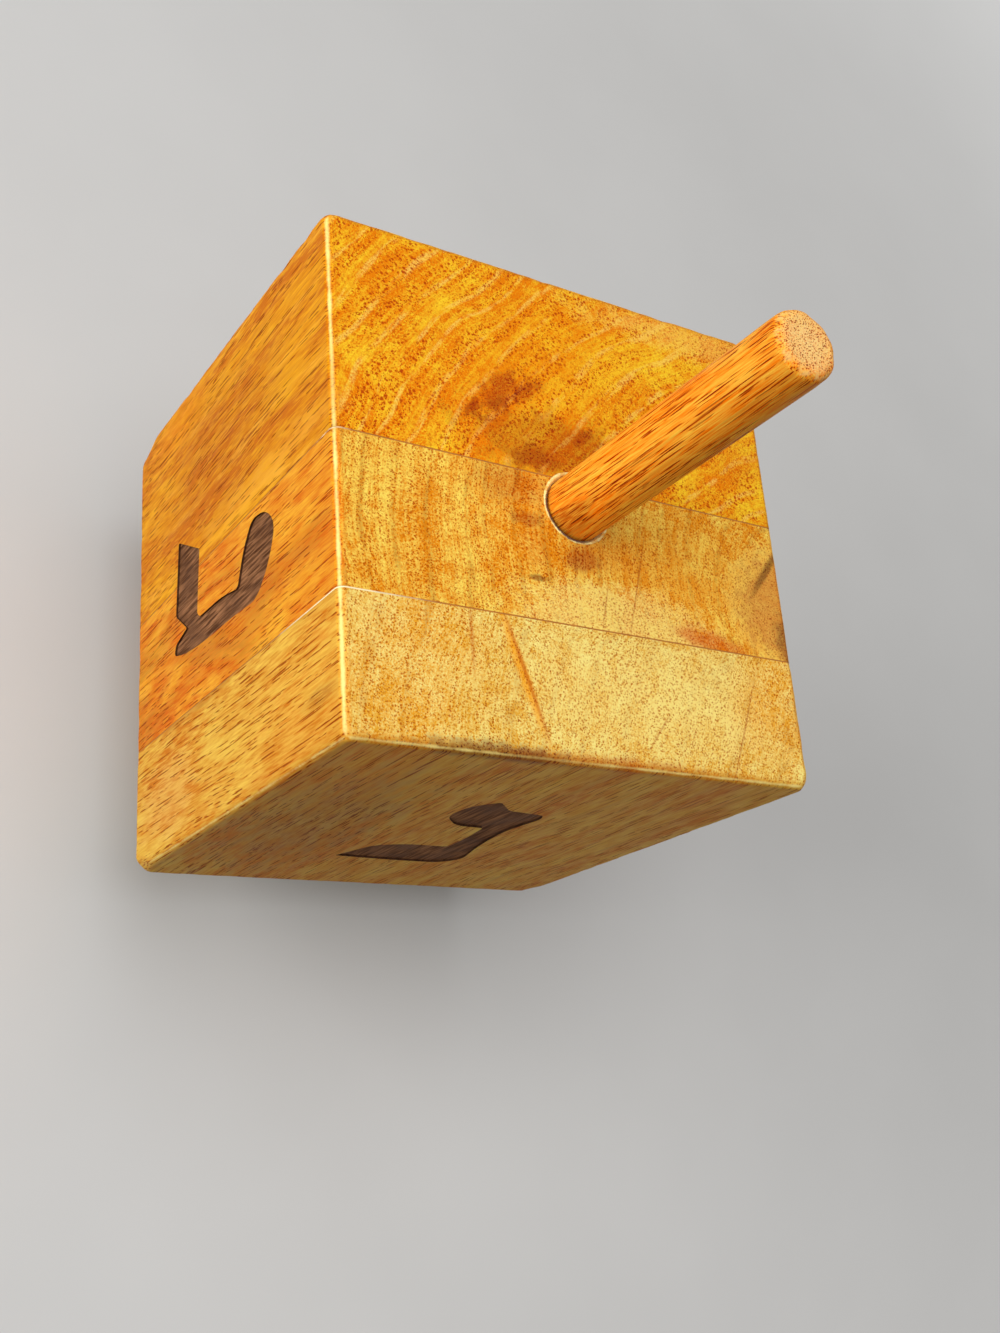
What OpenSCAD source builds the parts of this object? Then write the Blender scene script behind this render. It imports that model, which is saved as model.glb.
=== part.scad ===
/* [Block] */
// Width of the square block across its flat sides
block_w = 100; // [80:1:140]
// Height of the block's straight sides
block_h = 100; // [70:1:140]
// Slope of the four faces of the point, in degrees from level
point_slope = 32.5; // [20:0.5:45]
// Rounding of the four long corners between the sides
corner_r = 1.4; // [0.5:0.1:3]
// Rounding of the four edges round the upper face
rim_r = 1.4; // [0.5:0.1:3]
// Rounding of the lower edges, where the sides turn into the point
arris_r = 3.5; // [1:0.1:5]
// Rounding of the tip that the top spins on
tip_r = 2.5; // [1:0.1:5]

/* [Boards] */
// Distance from the spin axis to the middle of the front glue line
front_seam = 24; // [10:0.5:35]
// Distance from the spin axis to the middle of the back glue line
back_seam = 5.5; // [2:0.5:35]
// Thickness of the dried glue between two boards
glue_line_t = 0.3; // [0.1:0.05:0.6]

/* [Handle] */
// Diameter of the dowel that makes the handle
handle_d = 12.7; // [8:0.1:16]
// Length of the handle above the block
handle_l = 61.5; // [30:0.5:90]
// Length of the dowel inside the block
tenon_l = 30; // [15:1:45]
// Rounding of the handle's free end
handle_end_r = 1.8; // [0.4:0.1:3]
// Chamfer of the dowel's inner end
tenon_chamfer = 1.5; // [0.5:0.1:3]

/* [Handle joint] */
// Room all round the dowel in its hole, filled with glue
bore_gap = 0.3; // [0.1:0.05:1]
// Width of the ring of glue that shows round the handle
glue_ring_w = 1.2; // [0.8:0.05:2]
// Depth of the countersunk mouth of the hole
mouth_depth = 1.2; // [0.5:0.1:3]
// Height that the glue climbs up the handle
glue_climb_h = 0.7; // [0.3:0.1:2]

/* [Hidden] */
$fn = 96;
// How far each cut runs past the surface that it opens
overrun = 4;
// Side planes and depth of the sharp point
side = block_w / 2;
sharp_point_h = side * tan(point_slope);
// Height that the rounding takes off the sharp point
tip_loss = tip_r / cos(point_slope) - tip_r;
// Levels above the tip, which lies at the origin
shoulder_z = sharp_point_h - tip_loss;
top_z = shoulder_z + block_h;
// Middle planes of the two glue lines
front_seam_y = -front_seam;
back_seam_y = back_seam;
half_glue = glue_line_t / 2;
// Radii round the handle's axis
handle_r = handle_d / 2;
bore_r = handle_r + bore_gap;
mouth_r = handle_r + glue_ring_w;
floor_z = top_z - tenon_l;

function unit(v) = v / norm(v);
function before(points, i) = points[(i + len(points) - 1) % len(points)];
function after(points, i) = points[(i + 1) % len(points)];
// Directions from a corner to its two neighbours
function to_before(points, i) = unit(before(points, i) - points[i]);
function to_after(points, i) = unit(after(points, i) - points[i]);
// Half of the angle inside a corner
function half_angle(points, i) = acos(to_before(points, i) * to_after(points, i)) / 2;
// The two points where a corner's arc leaves its sides
function touch_points(points, radii, i) =
    let (reach = radii[i] / tan(half_angle(points, i)))
    reach > 0
        ? [points[i] + to_before(points, i) * reach, points[i] + to_after(points, i) * reach]
        : [points[i]];
function arc_centre(points, radii, i) =
    points[i] + unit(to_before(points, i) + to_after(points, i)) * radii[i] / sin(half_angle(points, i));

// Convex outline whose corners are rounded, each by its own radius
module rounded_outline(points, radii) {
    corners = [for (i = [0 : len(points) - 1]) i];
    polygon([for (i = corners) each touch_points(points, radii, i)]);
    for (i = corners) {
        if (radii[i] > 0) {
            translate(arc_centre(points, radii, i)) circle(r = radii[i]);
        }
    }
}

// The block seen from above
module plan_outline() {
    rounded_outline(
        [[-side, -side], [side, -side], [side, side], [-side, side]],
        [corner_r, corner_r, corner_r, corner_r]
    );
}

// The block seen from the side, with its point down
module side_outline() {
    rounded_outline(
        [[0, -tip_loss], [side, shoulder_z], [side, top_z], [-side, top_z], [-side, shoulder_z]],
        [tip_r, arris_r, rim_r, rim_r, arris_r]
    );
}

// The side outline drawn out along Y
module side_prism() {
    rotate([90, 0, 0]) linear_extrude(height = block_w + 2 * overrun, center = true) side_outline();
}

// The whole block: its plan and its two side outlines, crossed
module block_form() {
    intersection() {
        translate([0, 0, -overrun]) linear_extrude(height = top_z + 2 * overrun) plan_outline();
        side_prism();
        rotate([0, 0, 90]) side_prism();
    }
}

// The blind hole for the dowel, with its countersunk mouth
module handle_bore() {
    translate([0, 0, floor_z]) cylinder(r = bore_r, h = tenon_l + overrun);
    translate([0, 0, top_z - mouth_depth]) cylinder(r1 = bore_r, r2 = mouth_r, h = mouth_depth);
    translate([0, 0, top_z]) cylinder(r = mouth_r, h = overrun);
}

// One layer of the block between two planes square to Y
module layer(from_y, to_y) {
    difference() {
        intersection() {
            block_form();
            translate([-side - overrun, from_y, -overrun])
                cube([block_w + 2 * overrun, to_y - from_y, top_z + 2 * overrun]);
        }
        handle_bore();
    }
}

module front_board() {
    color([0.80, 0.58, 0.28]) layer(-side - overrun, front_seam_y - half_glue);
}

module middle_board() {
    color([0.77, 0.53, 0.24]) layer(front_seam_y + half_glue, back_seam_y - half_glue);
}

module back_board() {
    color([0.72, 0.47, 0.20]) layer(back_seam_y + half_glue, side + overrun);
}

module front_glue_line() {
    color([0.90, 0.84, 0.68]) layer(front_seam_y - half_glue, front_seam_y + half_glue);
}

module back_glue_line() {
    color([0.90, 0.84, 0.68]) layer(back_seam_y - half_glue, back_seam_y + half_glue);
}

// The dowel: a chamfered inner end, a round shank and an eased free end
module handle() {
    dowel_l = tenon_l + handle_l;
    color([0.66, 0.38, 0.18]) translate([0, 0, floor_z]) rotate_extrude() rounded_outline(
        [[0, 0], [handle_r - tenon_chamfer, 0], [handle_r, tenon_chamfer], [handle_r, dowel_l], [0, dowel_l]],
        [0, 0, 0, handle_end_r, 0]
    );
}

// The glue that fills the hole round the dowel and climbs a little up the handle
module handle_glue() {
    color([0.88, 0.80, 0.62]) rotate_extrude() polygon([
        [handle_r, floor_z + tenon_chamfer],
        [bore_r, floor_z + tenon_chamfer],
        [bore_r, top_z - mouth_depth],
        [mouth_r, top_z],
        [handle_r, top_z + glue_climb_h]
    ]);
}

front_board();
middle_board();
back_board();
front_glue_line();
back_glue_line();
handle();
handle_glue();
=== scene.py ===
"""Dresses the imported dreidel: three oiled boards with burnt letters, their glue and a dowel handle."""
import logging
import math
from collections.abc import Mapping, Sequence
from dataclasses import dataclass
from enum import Enum
from typing import Any, Protocol

import bmesh
import bpy
from mathutils import Matrix, Vector, noise


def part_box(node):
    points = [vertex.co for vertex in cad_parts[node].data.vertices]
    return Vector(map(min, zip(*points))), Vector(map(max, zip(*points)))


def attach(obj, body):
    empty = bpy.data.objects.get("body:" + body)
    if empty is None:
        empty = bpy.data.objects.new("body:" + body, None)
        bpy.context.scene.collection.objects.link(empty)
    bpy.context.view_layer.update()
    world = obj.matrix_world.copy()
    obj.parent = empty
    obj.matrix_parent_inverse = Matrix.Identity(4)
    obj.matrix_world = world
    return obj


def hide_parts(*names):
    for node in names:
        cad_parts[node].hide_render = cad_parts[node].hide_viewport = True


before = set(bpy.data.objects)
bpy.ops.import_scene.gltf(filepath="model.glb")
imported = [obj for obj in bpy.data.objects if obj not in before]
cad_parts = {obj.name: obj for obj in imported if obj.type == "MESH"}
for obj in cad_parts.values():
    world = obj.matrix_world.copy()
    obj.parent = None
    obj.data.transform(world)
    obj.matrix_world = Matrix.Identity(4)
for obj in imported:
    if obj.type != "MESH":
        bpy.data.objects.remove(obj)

LOG = logging.getLogger("dreidel")
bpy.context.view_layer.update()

# Pieces are shaped in millimetres and scaled to metres when they are finished.
MM = 0.001
PER_METRE = 1000.0
BODY = "root"
TURN = 2.0 * math.pi
CUT_DISTANCE = 1e-5

# Middle of a noise layer, which runs from 0 to 1.
MIDDLE = 0.5

# A screen's curve: its highest level, and the straight and the curved stretch.
FULL_LEVEL = 255.0
KNEE, KNEE_SLOPE = 0.04045, 12.92
CURVE_SHIFT, CURVE_POWER = 0.055, 2.4

# Places of a letter's floor and wall in a board's list of materials, after its wood.
BURNT, CHARRED = 1, 2

Colour = tuple[float, float, float, float]
Triple = tuple[float, float, float]


def linear(level: int) -> float:
    """Turns one channel's level on a screen into its linear share.

    Args:
        level: The level from 0 to 255.

    Returns:
        The share from 0 to 1.
    """
    share = level / FULL_LEVEL
    if share <= KNEE:
        return share / KNEE_SLOPE
    return ((share + CURVE_SHIFT) / (1.0 + CURVE_SHIFT)) ** CURVE_POWER


def paint(red: int, green: int, blue: int) -> Colour:
    """Gives the linear colour, with full alpha, of one written in levels from 0 to 255."""
    return (linear(red), linear(green), linear(blue), 1.0)


class Blend(Enum):
    """The ways in which one colour is laid over another."""

    COVER = "MIX"
    DARKEN = "MULTIPLY"


class Term:
    """A shader value that takes part in Python arithmetic."""

    def __init__(self, graph: "Graph", socket: bpy.types.NodeSocket) -> None:
        """Wraps one output socket of a graph."""
        self.graph = graph
        self.socket = socket

    def _math(self, operation: str, *operands: "Term | float") -> "Term":
        """Adds one Math node with its inputs in order and gives its result."""
        return self.graph.term("ShaderNodeMath", {"operation": operation}, dict(enumerate(operands)))

    def __add__(self, other: "Term | float") -> "Term":
        """Adds."""
        return self._math("ADD", self, other)

    def __radd__(self, other: float) -> "Term":
        """Adds to a number."""
        return self._math("ADD", other, self)

    def __sub__(self, other: "Term | float") -> "Term":
        """Subtracts."""
        return self._math("SUBTRACT", self, other)

    def __rsub__(self, other: float) -> "Term":
        """Subtracts from a number."""
        return self._math("SUBTRACT", other, self)

    def __mul__(self, other: "Term | float") -> "Term":
        """Multiplies."""
        return self._math("MULTIPLY", self, other)

    def __rmul__(self, other: float) -> "Term":
        """Multiplies a number."""
        return self._math("MULTIPLY", other, self)

    def __truediv__(self, other: "Term | float") -> "Term":
        """Divides."""
        return self._math("DIVIDE", self, other)

    def __abs__(self) -> "Term":
        """Drops the sign."""
        return self._math("ABSOLUTE", self)

    def least(self, other: "Term | float") -> "Term":
        """Gives the smaller of two values."""
        return self._math("MINIMUM", self, other)

    def most(self, other: "Term | float") -> "Term":
        """Gives the larger of two values."""
        return self._math("MAXIMUM", self, other)

    def root(self) -> "Term":
        """Gives the square root."""
        return self._math("SQRT", self)

    def fraction(self) -> "Term":
        """Gives what is left above the next lower whole number."""
        return self._math("FRACT", self)

    def angle(self, across: "Term") -> "Term":
        """Gives the angle whose tangent is this value over another."""
        return self._math("ARCTAN2", self, across)

    def rise(self, low: float, high: float) -> "Term":
        """Eases from 0 at one value to 1 at another, either way round.

        Args:
            low: The value where the result is 0.
            high: The value where the result is 1.

        Returns:
            The eased share.
        """
        if low > high:
            return 1.0 - self.rise(high, low)
        return self.graph.term(
            "ShaderNodeMapRange",
            {"interpolation_type": "SMOOTHSTEP"},
            {"Value": self, "From Min": low, "From Max": high},
        )


Feed = Term | float | Triple | Colour


class Graph:
    """The shader nodes of one material or of the world."""

    MIX_FACTOR, MIX_A, MIX_B, MIX_RESULT = 0, 6, 7, 2
    BACKDROP_RAYS = ("Is Camera Ray", "Is Glossy Ray", "Is Transmission Ray")

    def __init__(self, owner: bpy.types.Material | bpy.types.World) -> None:
        """Clears the nodes of a material or world for new ones.

        Args:
            owner: The material or world.
        """
        owner.use_nodes = True
        self.owner = owner
        self.tree = owner.node_tree
        self.tree.nodes.clear()

    @classmethod
    def named(cls, name: str) -> "Graph":
        """Starts a new material."""
        return cls(bpy.data.materials.new(name))

    def node(self, kind: str, settings: Mapping[str, Any], inputs: Mapping[Any, Feed]) -> bpy.types.Node:
        """Adds a node, sets it up and feeds its sockets.

        Args:
            kind: The node's type.
            settings: Its properties, set first.
            inputs: Values or links, by the socket's name or place.

        Returns:
            The new node.
        """
        made = self.tree.nodes.new(kind)
        for key, value in settings.items():
            setattr(made, key, value)
        for key, value in inputs.items():
            if isinstance(value, Term):
                self.tree.links.new(value.socket, made.inputs[key])
            else:
                made.inputs[key].default_value = value
        return made

    def term(
        self, kind: str, settings: Mapping[str, Any], inputs: Mapping[Any, Feed], output: int = 0
    ) -> Term:
        """Adds a node and gives the output at one place."""
        return Term(self, self.node(kind, settings, inputs).outputs[output])

    def place(self) -> tuple[Term, Term, Term]:
        """Reads where a point of the piece lies.

        Returns:
            The three object coordinates in millimetres.
        """
        spot = Term(self, self.node("ShaderNodeTexCoord", {}, {}).outputs["Object"])
        scaled = self.term(
            "ShaderNodeVectorMath", {"operation": "SCALE"}, {"Vector": spot, "Scale": PER_METRE}
        )
        parts = self.node("ShaderNodeSeparateXYZ", {}, {0: scaled})
        return tuple(Term(self, socket) for socket in parts.outputs)

    def seen(self) -> Term:
        """Tells a look at a backdrop from light that it throws.

        Returns:
            1 where it is seen, straight or in gloss or glass, and 0 where it only lights.
        """
        path = self.node("ShaderNodeLightPath", {}, {})
        shown, *others = (Term(self, path.outputs[ray]) for ray in self.BACKDROP_RAYS)
        for ray in others:
            shown = shown.most(ray)
        return shown

    def vector(self, x: Term | float, y: Term | float, z: Term | float) -> Term:
        """Joins three values to a vector."""
        return self.term("ShaderNodeCombineXYZ", {}, {0: x, 1: y, 2: z})

    def cloud(self, spot: Term, detail: float, rough: float) -> Term:
        """Reads soft noise.

        Args:
            spot: The vector that the noise is read at.
            detail: How many finer layers it has.
            rough: How strong the finer layers are.

        Returns:
            The noise from 0 to 1.
        """
        return self.term(
            "ShaderNodeTexNoise", {"noise_dimensions": "3D"},
            {"Vector": spot, "Scale": 1.0, "Detail": detail, "Roughness": rough},
        )

    def cells(self, x: Term, y: Term, z: Term, spacing: float, length: float) -> Term:
        """Measures to the nearest of many scattered points.

        Args:
            x: Place across the piece.
            y: Place from front to back.
            z: Place along the grain.
            spacing: Spacing of the points across the grain.
            length: Their spacing along it.

        Returns:
            The distance as a share of the spacing.
        """
        spot = self.vector(x / spacing, y / spacing, z / length)
        return self.term(
            "ShaderNodeTexVoronoi", {"feature": "F1", "voronoi_dimensions": "3D"},
            {"Vector": spot, "Scale": 1.0},
        )

    def mix(self, factor: Term | float, under: Feed, over: Feed, how: Blend = Blend.COVER) -> Term:
        """Lays one colour over another.

        Args:
            factor: How much of the upper colour shows.
            under: The colour below.
            over: The colour on top.
            how: The way of blending.

        Returns:
            The mixed colour.
        """
        return self.term(
            "ShaderNodeMix", {"data_type": "RGBA", "blend_type": how.value},
            {self.MIX_FACTOR: factor, self.MIX_A: under, self.MIX_B: over}, self.MIX_RESULT,
        )

    def surface(
        self, colour: Feed, rough: Feed, height: Term, depth: float, gloss: float
    ) -> bpy.types.Material:
        """Ends the graph in one shader.

        Args:
            colour: The base colour.
            rough: The roughness.
            height: The relief from 0 to 1.
            depth: The depth of the relief in millimetres.
            gloss: The shader's specular level.

        Returns:
            The finished material.
        """
        normal = self.term(
            "ShaderNodeBump", {}, {"Height": height, "Strength": 1.0, "Distance": depth * MM}
        )
        shader = self.term(
            "ShaderNodeBsdfPrincipled", {},
            {"Base Color": colour, "Roughness": rough, "Normal": normal, "Specular IOR Level": gloss},
        )
        self.node("ShaderNodeOutputMaterial", {}, {"Surface": shader})
        return self.owner


@dataclass(frozen=True)
class Streak:
    """One layer of soft noise, drawn out along the grain, in millimetres."""

    across: float
    around: float
    along: float
    share: float = 0.0
    detail: float = 2.0
    low: float = 0.34
    high: float = 0.66
    rough: float = 0.5

    def raw(self, graph: Graph, u: Term, v: Term, w: Term) -> Term:
        """Reads the layer as it comes.

        Args:
            graph: The material's graph.
            u: Place across the layer.
            v: Place around the layer.
            w: Place along the grain.

        Returns:
            The layer from 0 to 1.
        """
        spot = graph.vector(u / self.across, v / self.around, w / self.along)
        return graph.cloud(spot, self.detail, self.rough)

    def read(self, graph: Graph, u: Term, v: Term, w: Term) -> Term:
        """Reads the layer with its contrast raised."""
        return self.raw(graph, u, v, w).rise(self.low, self.high)


class Wear(Protocol):
    """Somewhere on a piece that handling has rubbed pale."""

    def share(self, graph: Graph, x: Term, y: Term, z: Term) -> Term:
        """Gives how worn a place is, from 0 to 1."""


@dataclass(frozen=True)
class BlockWear:
    """Rubbed edges of the block, all in millimetres.

    A spare is added to the distance from an edge that is rubbed less.
    """

    half: float
    top: float
    shoulder: float
    reach: float = 0.72
    full_before: float = 0.3
    gone_after: float = 0.2
    ragged: float = 0.4
    fine_share: float = 0.7
    spared: float = 0.35
    corner_spare: float = 0.2
    front_spare: float = 0.12
    shoulder_spare: float = 0.35
    hip_spare: float = 0.3
    hip_slope: float = 0.7
    hip_stop: float = 4.0
    coarse: Streak = Streak(4.0, 4.0, 4.0, detail=1.0)
    fine: Streak = Streak(0.6, 0.6, 0.6)
    slow: Streak = Streak(30.0, 30.0, 30.0, detail=1.0, low=0.32, high=0.55)
    slow_shift: float = 210.0

    def share(self, graph: Graph, x: Term, y: Term, z: Term) -> Term:
        """Gives how worn a place on the block is.

        Args:
            graph: The material's graph.
            x: Place across the block.
            y: Place from front to back.
            z: Height above the tip.

        Returns:
            The share, 1 right on an edge.
        """
        in_x, in_y = self.half - abs(x), self.half - abs(y)
        below = self.top - z
        level = abs(z - self.shoulder) + self.shoulder_spare
        hip = (abs(in_x - in_y) * self.hip_slope).most((z - self.shoulder) * self.hip_stop) + self.hip_spare
        corner = in_x.most(in_y) + self.corner_spare
        edge = corner.least(in_x.most(below)).least(in_y.most(below) + self.front_spare)
        edge = edge.least(in_x.most(level)).least(in_y.most(level)).least(hip)
        coarse = (self.coarse.raw(graph, x, y, z) - MIDDLE) * self.ragged
        fine = (self.fine.raw(graph, x, y, z) - MIDDLE) * (self.ragged * self.fine_share)
        slow = self.slow.read(graph, x, y, z + self.slow_shift)
        worn = (edge + coarse + fine).rise(self.reach + self.gone_after, self.reach - self.full_before)
        return worn * (self.spared + (1.0 - self.spared) * slow)


@dataclass(frozen=True)
class DowelWear:
    """The rubbed rim at the free end of the handle, in millimetres."""

    radius: float
    end: float
    reach: float = 1.1
    fade: float = 1.0
    ragged: float = 4.0
    strength: float = 0.75
    fray: Streak = Streak(1.3, 1.3, 4.0, detail=3.0, rough=0.6)

    def share(self, graph: Graph, x: Term, y: Term, z: Term) -> Term:
        """Gives how worn a place on the handle is.

        Args:
            graph: The material's graph.
            x: Place across the handle.
            y: Place from front to back.
            z: Height above the tip.

        Returns:
            The share, highest on the rim of the end.
        """
        out = (x * x + y * y).root()
        edge = (self.radius - out).most(self.end - z)
        fray = (self.fray.raw(graph, x, y, z) - MIDDLE) * self.ragged
        return (edge + fray).rise(self.reach, self.reach - self.fade) * self.strength


@dataclass(frozen=True)
class Mark:
    """A stain, knot or streak in the wood, as an ellipsoid with a ragged edge.

    Its centre is given across, from front to back, and in height from the upper face.
    """

    centre: Triple
    reach: Triple
    tint: Colour
    share: float
    turn: float = 0.0
    soft: float = 0.55
    ragged: float = 0.5
    even: float = 0.0
    how: Blend = Blend.COVER
    between: bool = False
    between_level: float = 1.3

    def lay(
        self, graph: Graph, under: Term, spot: tuple[Term, Term, Term], fray: Term, speckle: Term
    ) -> Term:
        """Lays the mark over a colour.

        Args:
            graph: The material's graph.
            under: The colour so far.
            spot: Coordinates from the axis and the upper face.
            fray: Noise around zero that roughens the edge.
            speckle: How much of the mark each place takes up.

        Returns:
            The colour with the mark.
        """
        cos, sin = math.cos(math.radians(self.turn)), math.sin(math.radians(self.turn))
        across, along, up = (value - middle for value, middle in zip(spot, self.centre))
        u = (across * cos + along * sin) / self.reach[0]
        v = (along * cos - across * sin) / self.reach[1]
        w = up / self.reach[2]
        far = (u * u + v * v + w * w).root() + fray * self.ragged
        cover = far.rise(1.0 + self.soft, 1.0 - self.soft) * self.share
        taken = self.between_level - speckle if self.between else speckle
        return graph.mix(cover * taken.most(self.even), under, self.tint, self.how)


@dataclass(frozen=True)
class Pores:
    """Open pores: dark dots on end grain and dashes along it, in millimetres.

    Their radius, soft edge and halo are shares of their spacing.
    """

    spacing: float
    length: float
    radius: float
    share: float
    edge: float = 0.12
    glow: float = 0.36
    breaks: Streak = Streak(0.6, 0.6, 1.8, detail=1.0, low=0.40, high=0.50)

    def read(self, graph: Graph, x: Term, y: Term, z: Term) -> tuple[Term, Term]:
        """Reads the pores.

        Args:
            graph: The material's graph.
            x: Place across the piece.
            y: Place from front to back.
            z: Place along the grain.

        Returns:
            1 inside a pore and 0 between pores, for the pores and for the warm halo round them.
        """
        cell = graph.cells(x, y, z, self.spacing, self.length)
        open_here = self.breaks.read(graph, x, y, z)
        core = cell.rise(self.radius + self.edge, self.radius)
        halo = cell.rise(self.radius + self.glow, self.radius)
        return core * open_here, halo * open_here


@dataclass(frozen=True)
class Rings:
    """Growth rings round a heart, in millimetres, with a thin line where each one ends."""

    heart: tuple[float, float]
    gap: float
    line: Colour
    line_share: float
    shade_share: float
    wander: float = 0.8
    drift: Streak = Streak(14.0, 120.0, 400.0, detail=1.0)
    gaps: Streak = Streak(1.3, 4.0, 30.0, detail=3.0, low=0.40, high=0.60)
    line_starts: float = 0.70
    line_full: float = 0.82
    line_fades: float = 0.90
    shade_starts: float = 0.2

    def polar(self, x: Term, y: Term) -> tuple[Term, Term]:
        """Turns a place into distance from the heart and length round it.

        Args:
            x: Place across the piece.
            y: Place from front to back.

        Returns:
            The distance and the length, which jumps only behind the heart.
        """
        away = math.hypot(*self.heart)
        to_x, to_y = -self.heart[0] / away, -self.heart[1] / away
        from_x, from_y = x - self.heart[0], y - self.heart[1]
        ahead, aside = from_x * to_x + from_y * to_y, from_y * to_x - from_x * to_y
        return (from_x * from_x + from_y * from_y).root(), aside.angle(ahead) * away

    def phase(self, graph: Graph, ring: Term, arc: Term, z: Term) -> Term:
        """Gives how far a place is from one ring's start to the next."""
        return (ring / self.gap + self.drift.read(graph, ring, arc, z) * self.wander).fraction()

    def lines(self, phase: Term) -> Term:
        """Gives the thin lines from the phase."""
        return phase.rise(self.line_starts, self.line_full) * phase.rise(1.0, self.line_fades)

    def shades(self, phase: Term) -> Term:
        """Gives the deeper wood before each line."""
        return phase.rise(self.shade_starts, self.line_starts) * phase.rise(self.line_full, self.line_starts)


@dataclass(frozen=True)
class WoodFinish:
    """Oiled wood that runs through its piece: growth rings, pores and stains.

    Lengths are in millimetres. The grain follows the spin axis, so that the upper face shows the
    ends of the pores and the sides show them as fine dashes. The skin is the wood close to a side.
    """

    name: str
    pale: Colour
    deep: Colour
    pore: Colour
    worn: Colour
    rings: Rings
    wear: Wear
    top: float
    side: Colour
    side_deep: Colour
    side_pore: Colour
    half: float
    halo_share: float = 0.46
    side_fade: float = 0.1
    fleck: Streak = Streak(0.34, 0.34, 4.4, 0.4)
    thread: Streak = Streak(0.45, 6.0, 20.0, 0.34)
    mottle: Streak = Streak(2.4, 2.4, 8.0, 0.36, 3.0)
    patch: Streak = Streak(9.0, 16.0, 40.0, 0.34)
    bend: Streak = Streak(24.0, 24.0, 80.0, detail=1.0)
    crowd: Streak = Streak(0.7, 9.0, 30.0)
    fine_pores: Pores = Pores(
        0.44, 18.0, 0.24, 0.9, breaks=Streak(0.5, 0.5, 3.6, detail=1.0, low=0.40, high=0.50)
    )
    broad_pores: Pores = Pores(0.64, 14.0, 0.24, 0.75, edge=0.2)
    pore_floor: float = 0.4
    sway: float = 1.6
    skin_starts: float = 2.0
    skin_full: float = 0.5
    calm: float = 0.15
    side_pores: float = 0.85
    line_breaks: float = 0.8
    fray_fleck: float = 0.6
    speckle_floor: float = 0.35
    speckle_share: float = 0.5
    rough: float = 0.44
    rough_pores: float = 0.2
    rough_mottle: float = 0.08
    rough_worn: float = 0.1
    relief: float = 0.05
    relief_pores: float = 0.8
    relief_fleck: float = 0.2
    gloss: float = 0.06
    marks: tuple[Mark, ...] = ()

    def material(self) -> bpy.types.Material:
        """Makes the wood.

        Returns:
            The material.
        """
        graph = Graph.named(self.name)
        x, y, z = graph.place()
        bent_x = x + (self.bend.read(graph, x, y, z) - MIDDLE) * self.sway
        bent_y = y + (self.bend.read(graph, y, x, z) - MIDDLE) * self.sway
        ring, arc = self.rings.polar(bent_x, bent_y)
        fleck = self.fleck.read(graph, bent_x, bent_y, z)
        thread = self.thread.read(graph, ring, arc, z)
        mottle = self.mottle.read(graph, bent_x, bent_y, z)
        patch = self.patch.read(graph, ring, arc, z)
        layers = ((self.fleck, fleck), (self.thread, thread), (self.mottle, mottle), (self.patch, patch))
        phase = self.rings.phase(graph, ring, arc, z)
        tone = self.rings.shades(phase) * patch * fleck * self.rings.shade_share + MIDDLE
        skin = (self.half - abs(x)).least(self.half - abs(y)).rise(self.skin_starts, self.skin_full)
        for streak, value in layers:
            tone = tone + (value - MIDDLE) * streak.share * (1.0 - self.calm * skin)
        fine, fine_halo = self.fine_pores.read(graph, bent_x, bent_y, z)
        broad, broad_halo = (part * (1.0 - skin) for part in self.broad_pores.read(graph, bent_x, bent_y, z))
        crowd = self.pore_floor + (1.0 - self.pore_floor) * self.crowd.read(graph, ring, arc, z)
        crowd = crowd.most(skin * self.side_pores)
        pores = (fine * self.fine_pores.share).most(broad * self.broad_pores.share) * crowd
        pores = pores * (1.0 - self.side_fade * skin)
        tone = tone + fine_halo.most(broad_halo) * crowd * self.halo_share
        colour = graph.mix(tone, self.pale, graph.mix(skin, self.deep, self.side_deep))
        line = self.rings.lines(phase) * self.rings.gaps.read(graph, ring, arc, z)
        line = line * (1.0 - fleck * self.line_breaks) * self.rings.line_share
        colour = graph.mix(line, colour, self.rings.line)

        spot = (x, y, z - self.top)
        fray = mottle - MIDDLE + (fleck - MIDDLE) * self.fray_fleck
        speckle = (self.speckle_floor + self.speckle_share * fleck + self.speckle_share * fine).least(1.0)
        for mark in self.marks:
            colour = mark.lay(graph, colour, spot, fray, speckle)
        colour = graph.mix(skin, colour, self.side, Blend.DARKEN)
        colour = graph.mix(pores, colour, graph.mix(skin, self.pore, self.side_pore), Blend.DARKEN)
        worn = self.wear.share(graph, x, y, z)
        colour = graph.mix(worn, colour, self.worn)

        rough = self.rough + pores * self.rough_pores + mottle * self.rough_mottle + worn * self.rough_worn
        height = 1.0 - pores * self.relief_pores - fleck * self.relief_fleck
        return graph.surface(colour, rough, height, self.relief, self.gloss)


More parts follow.
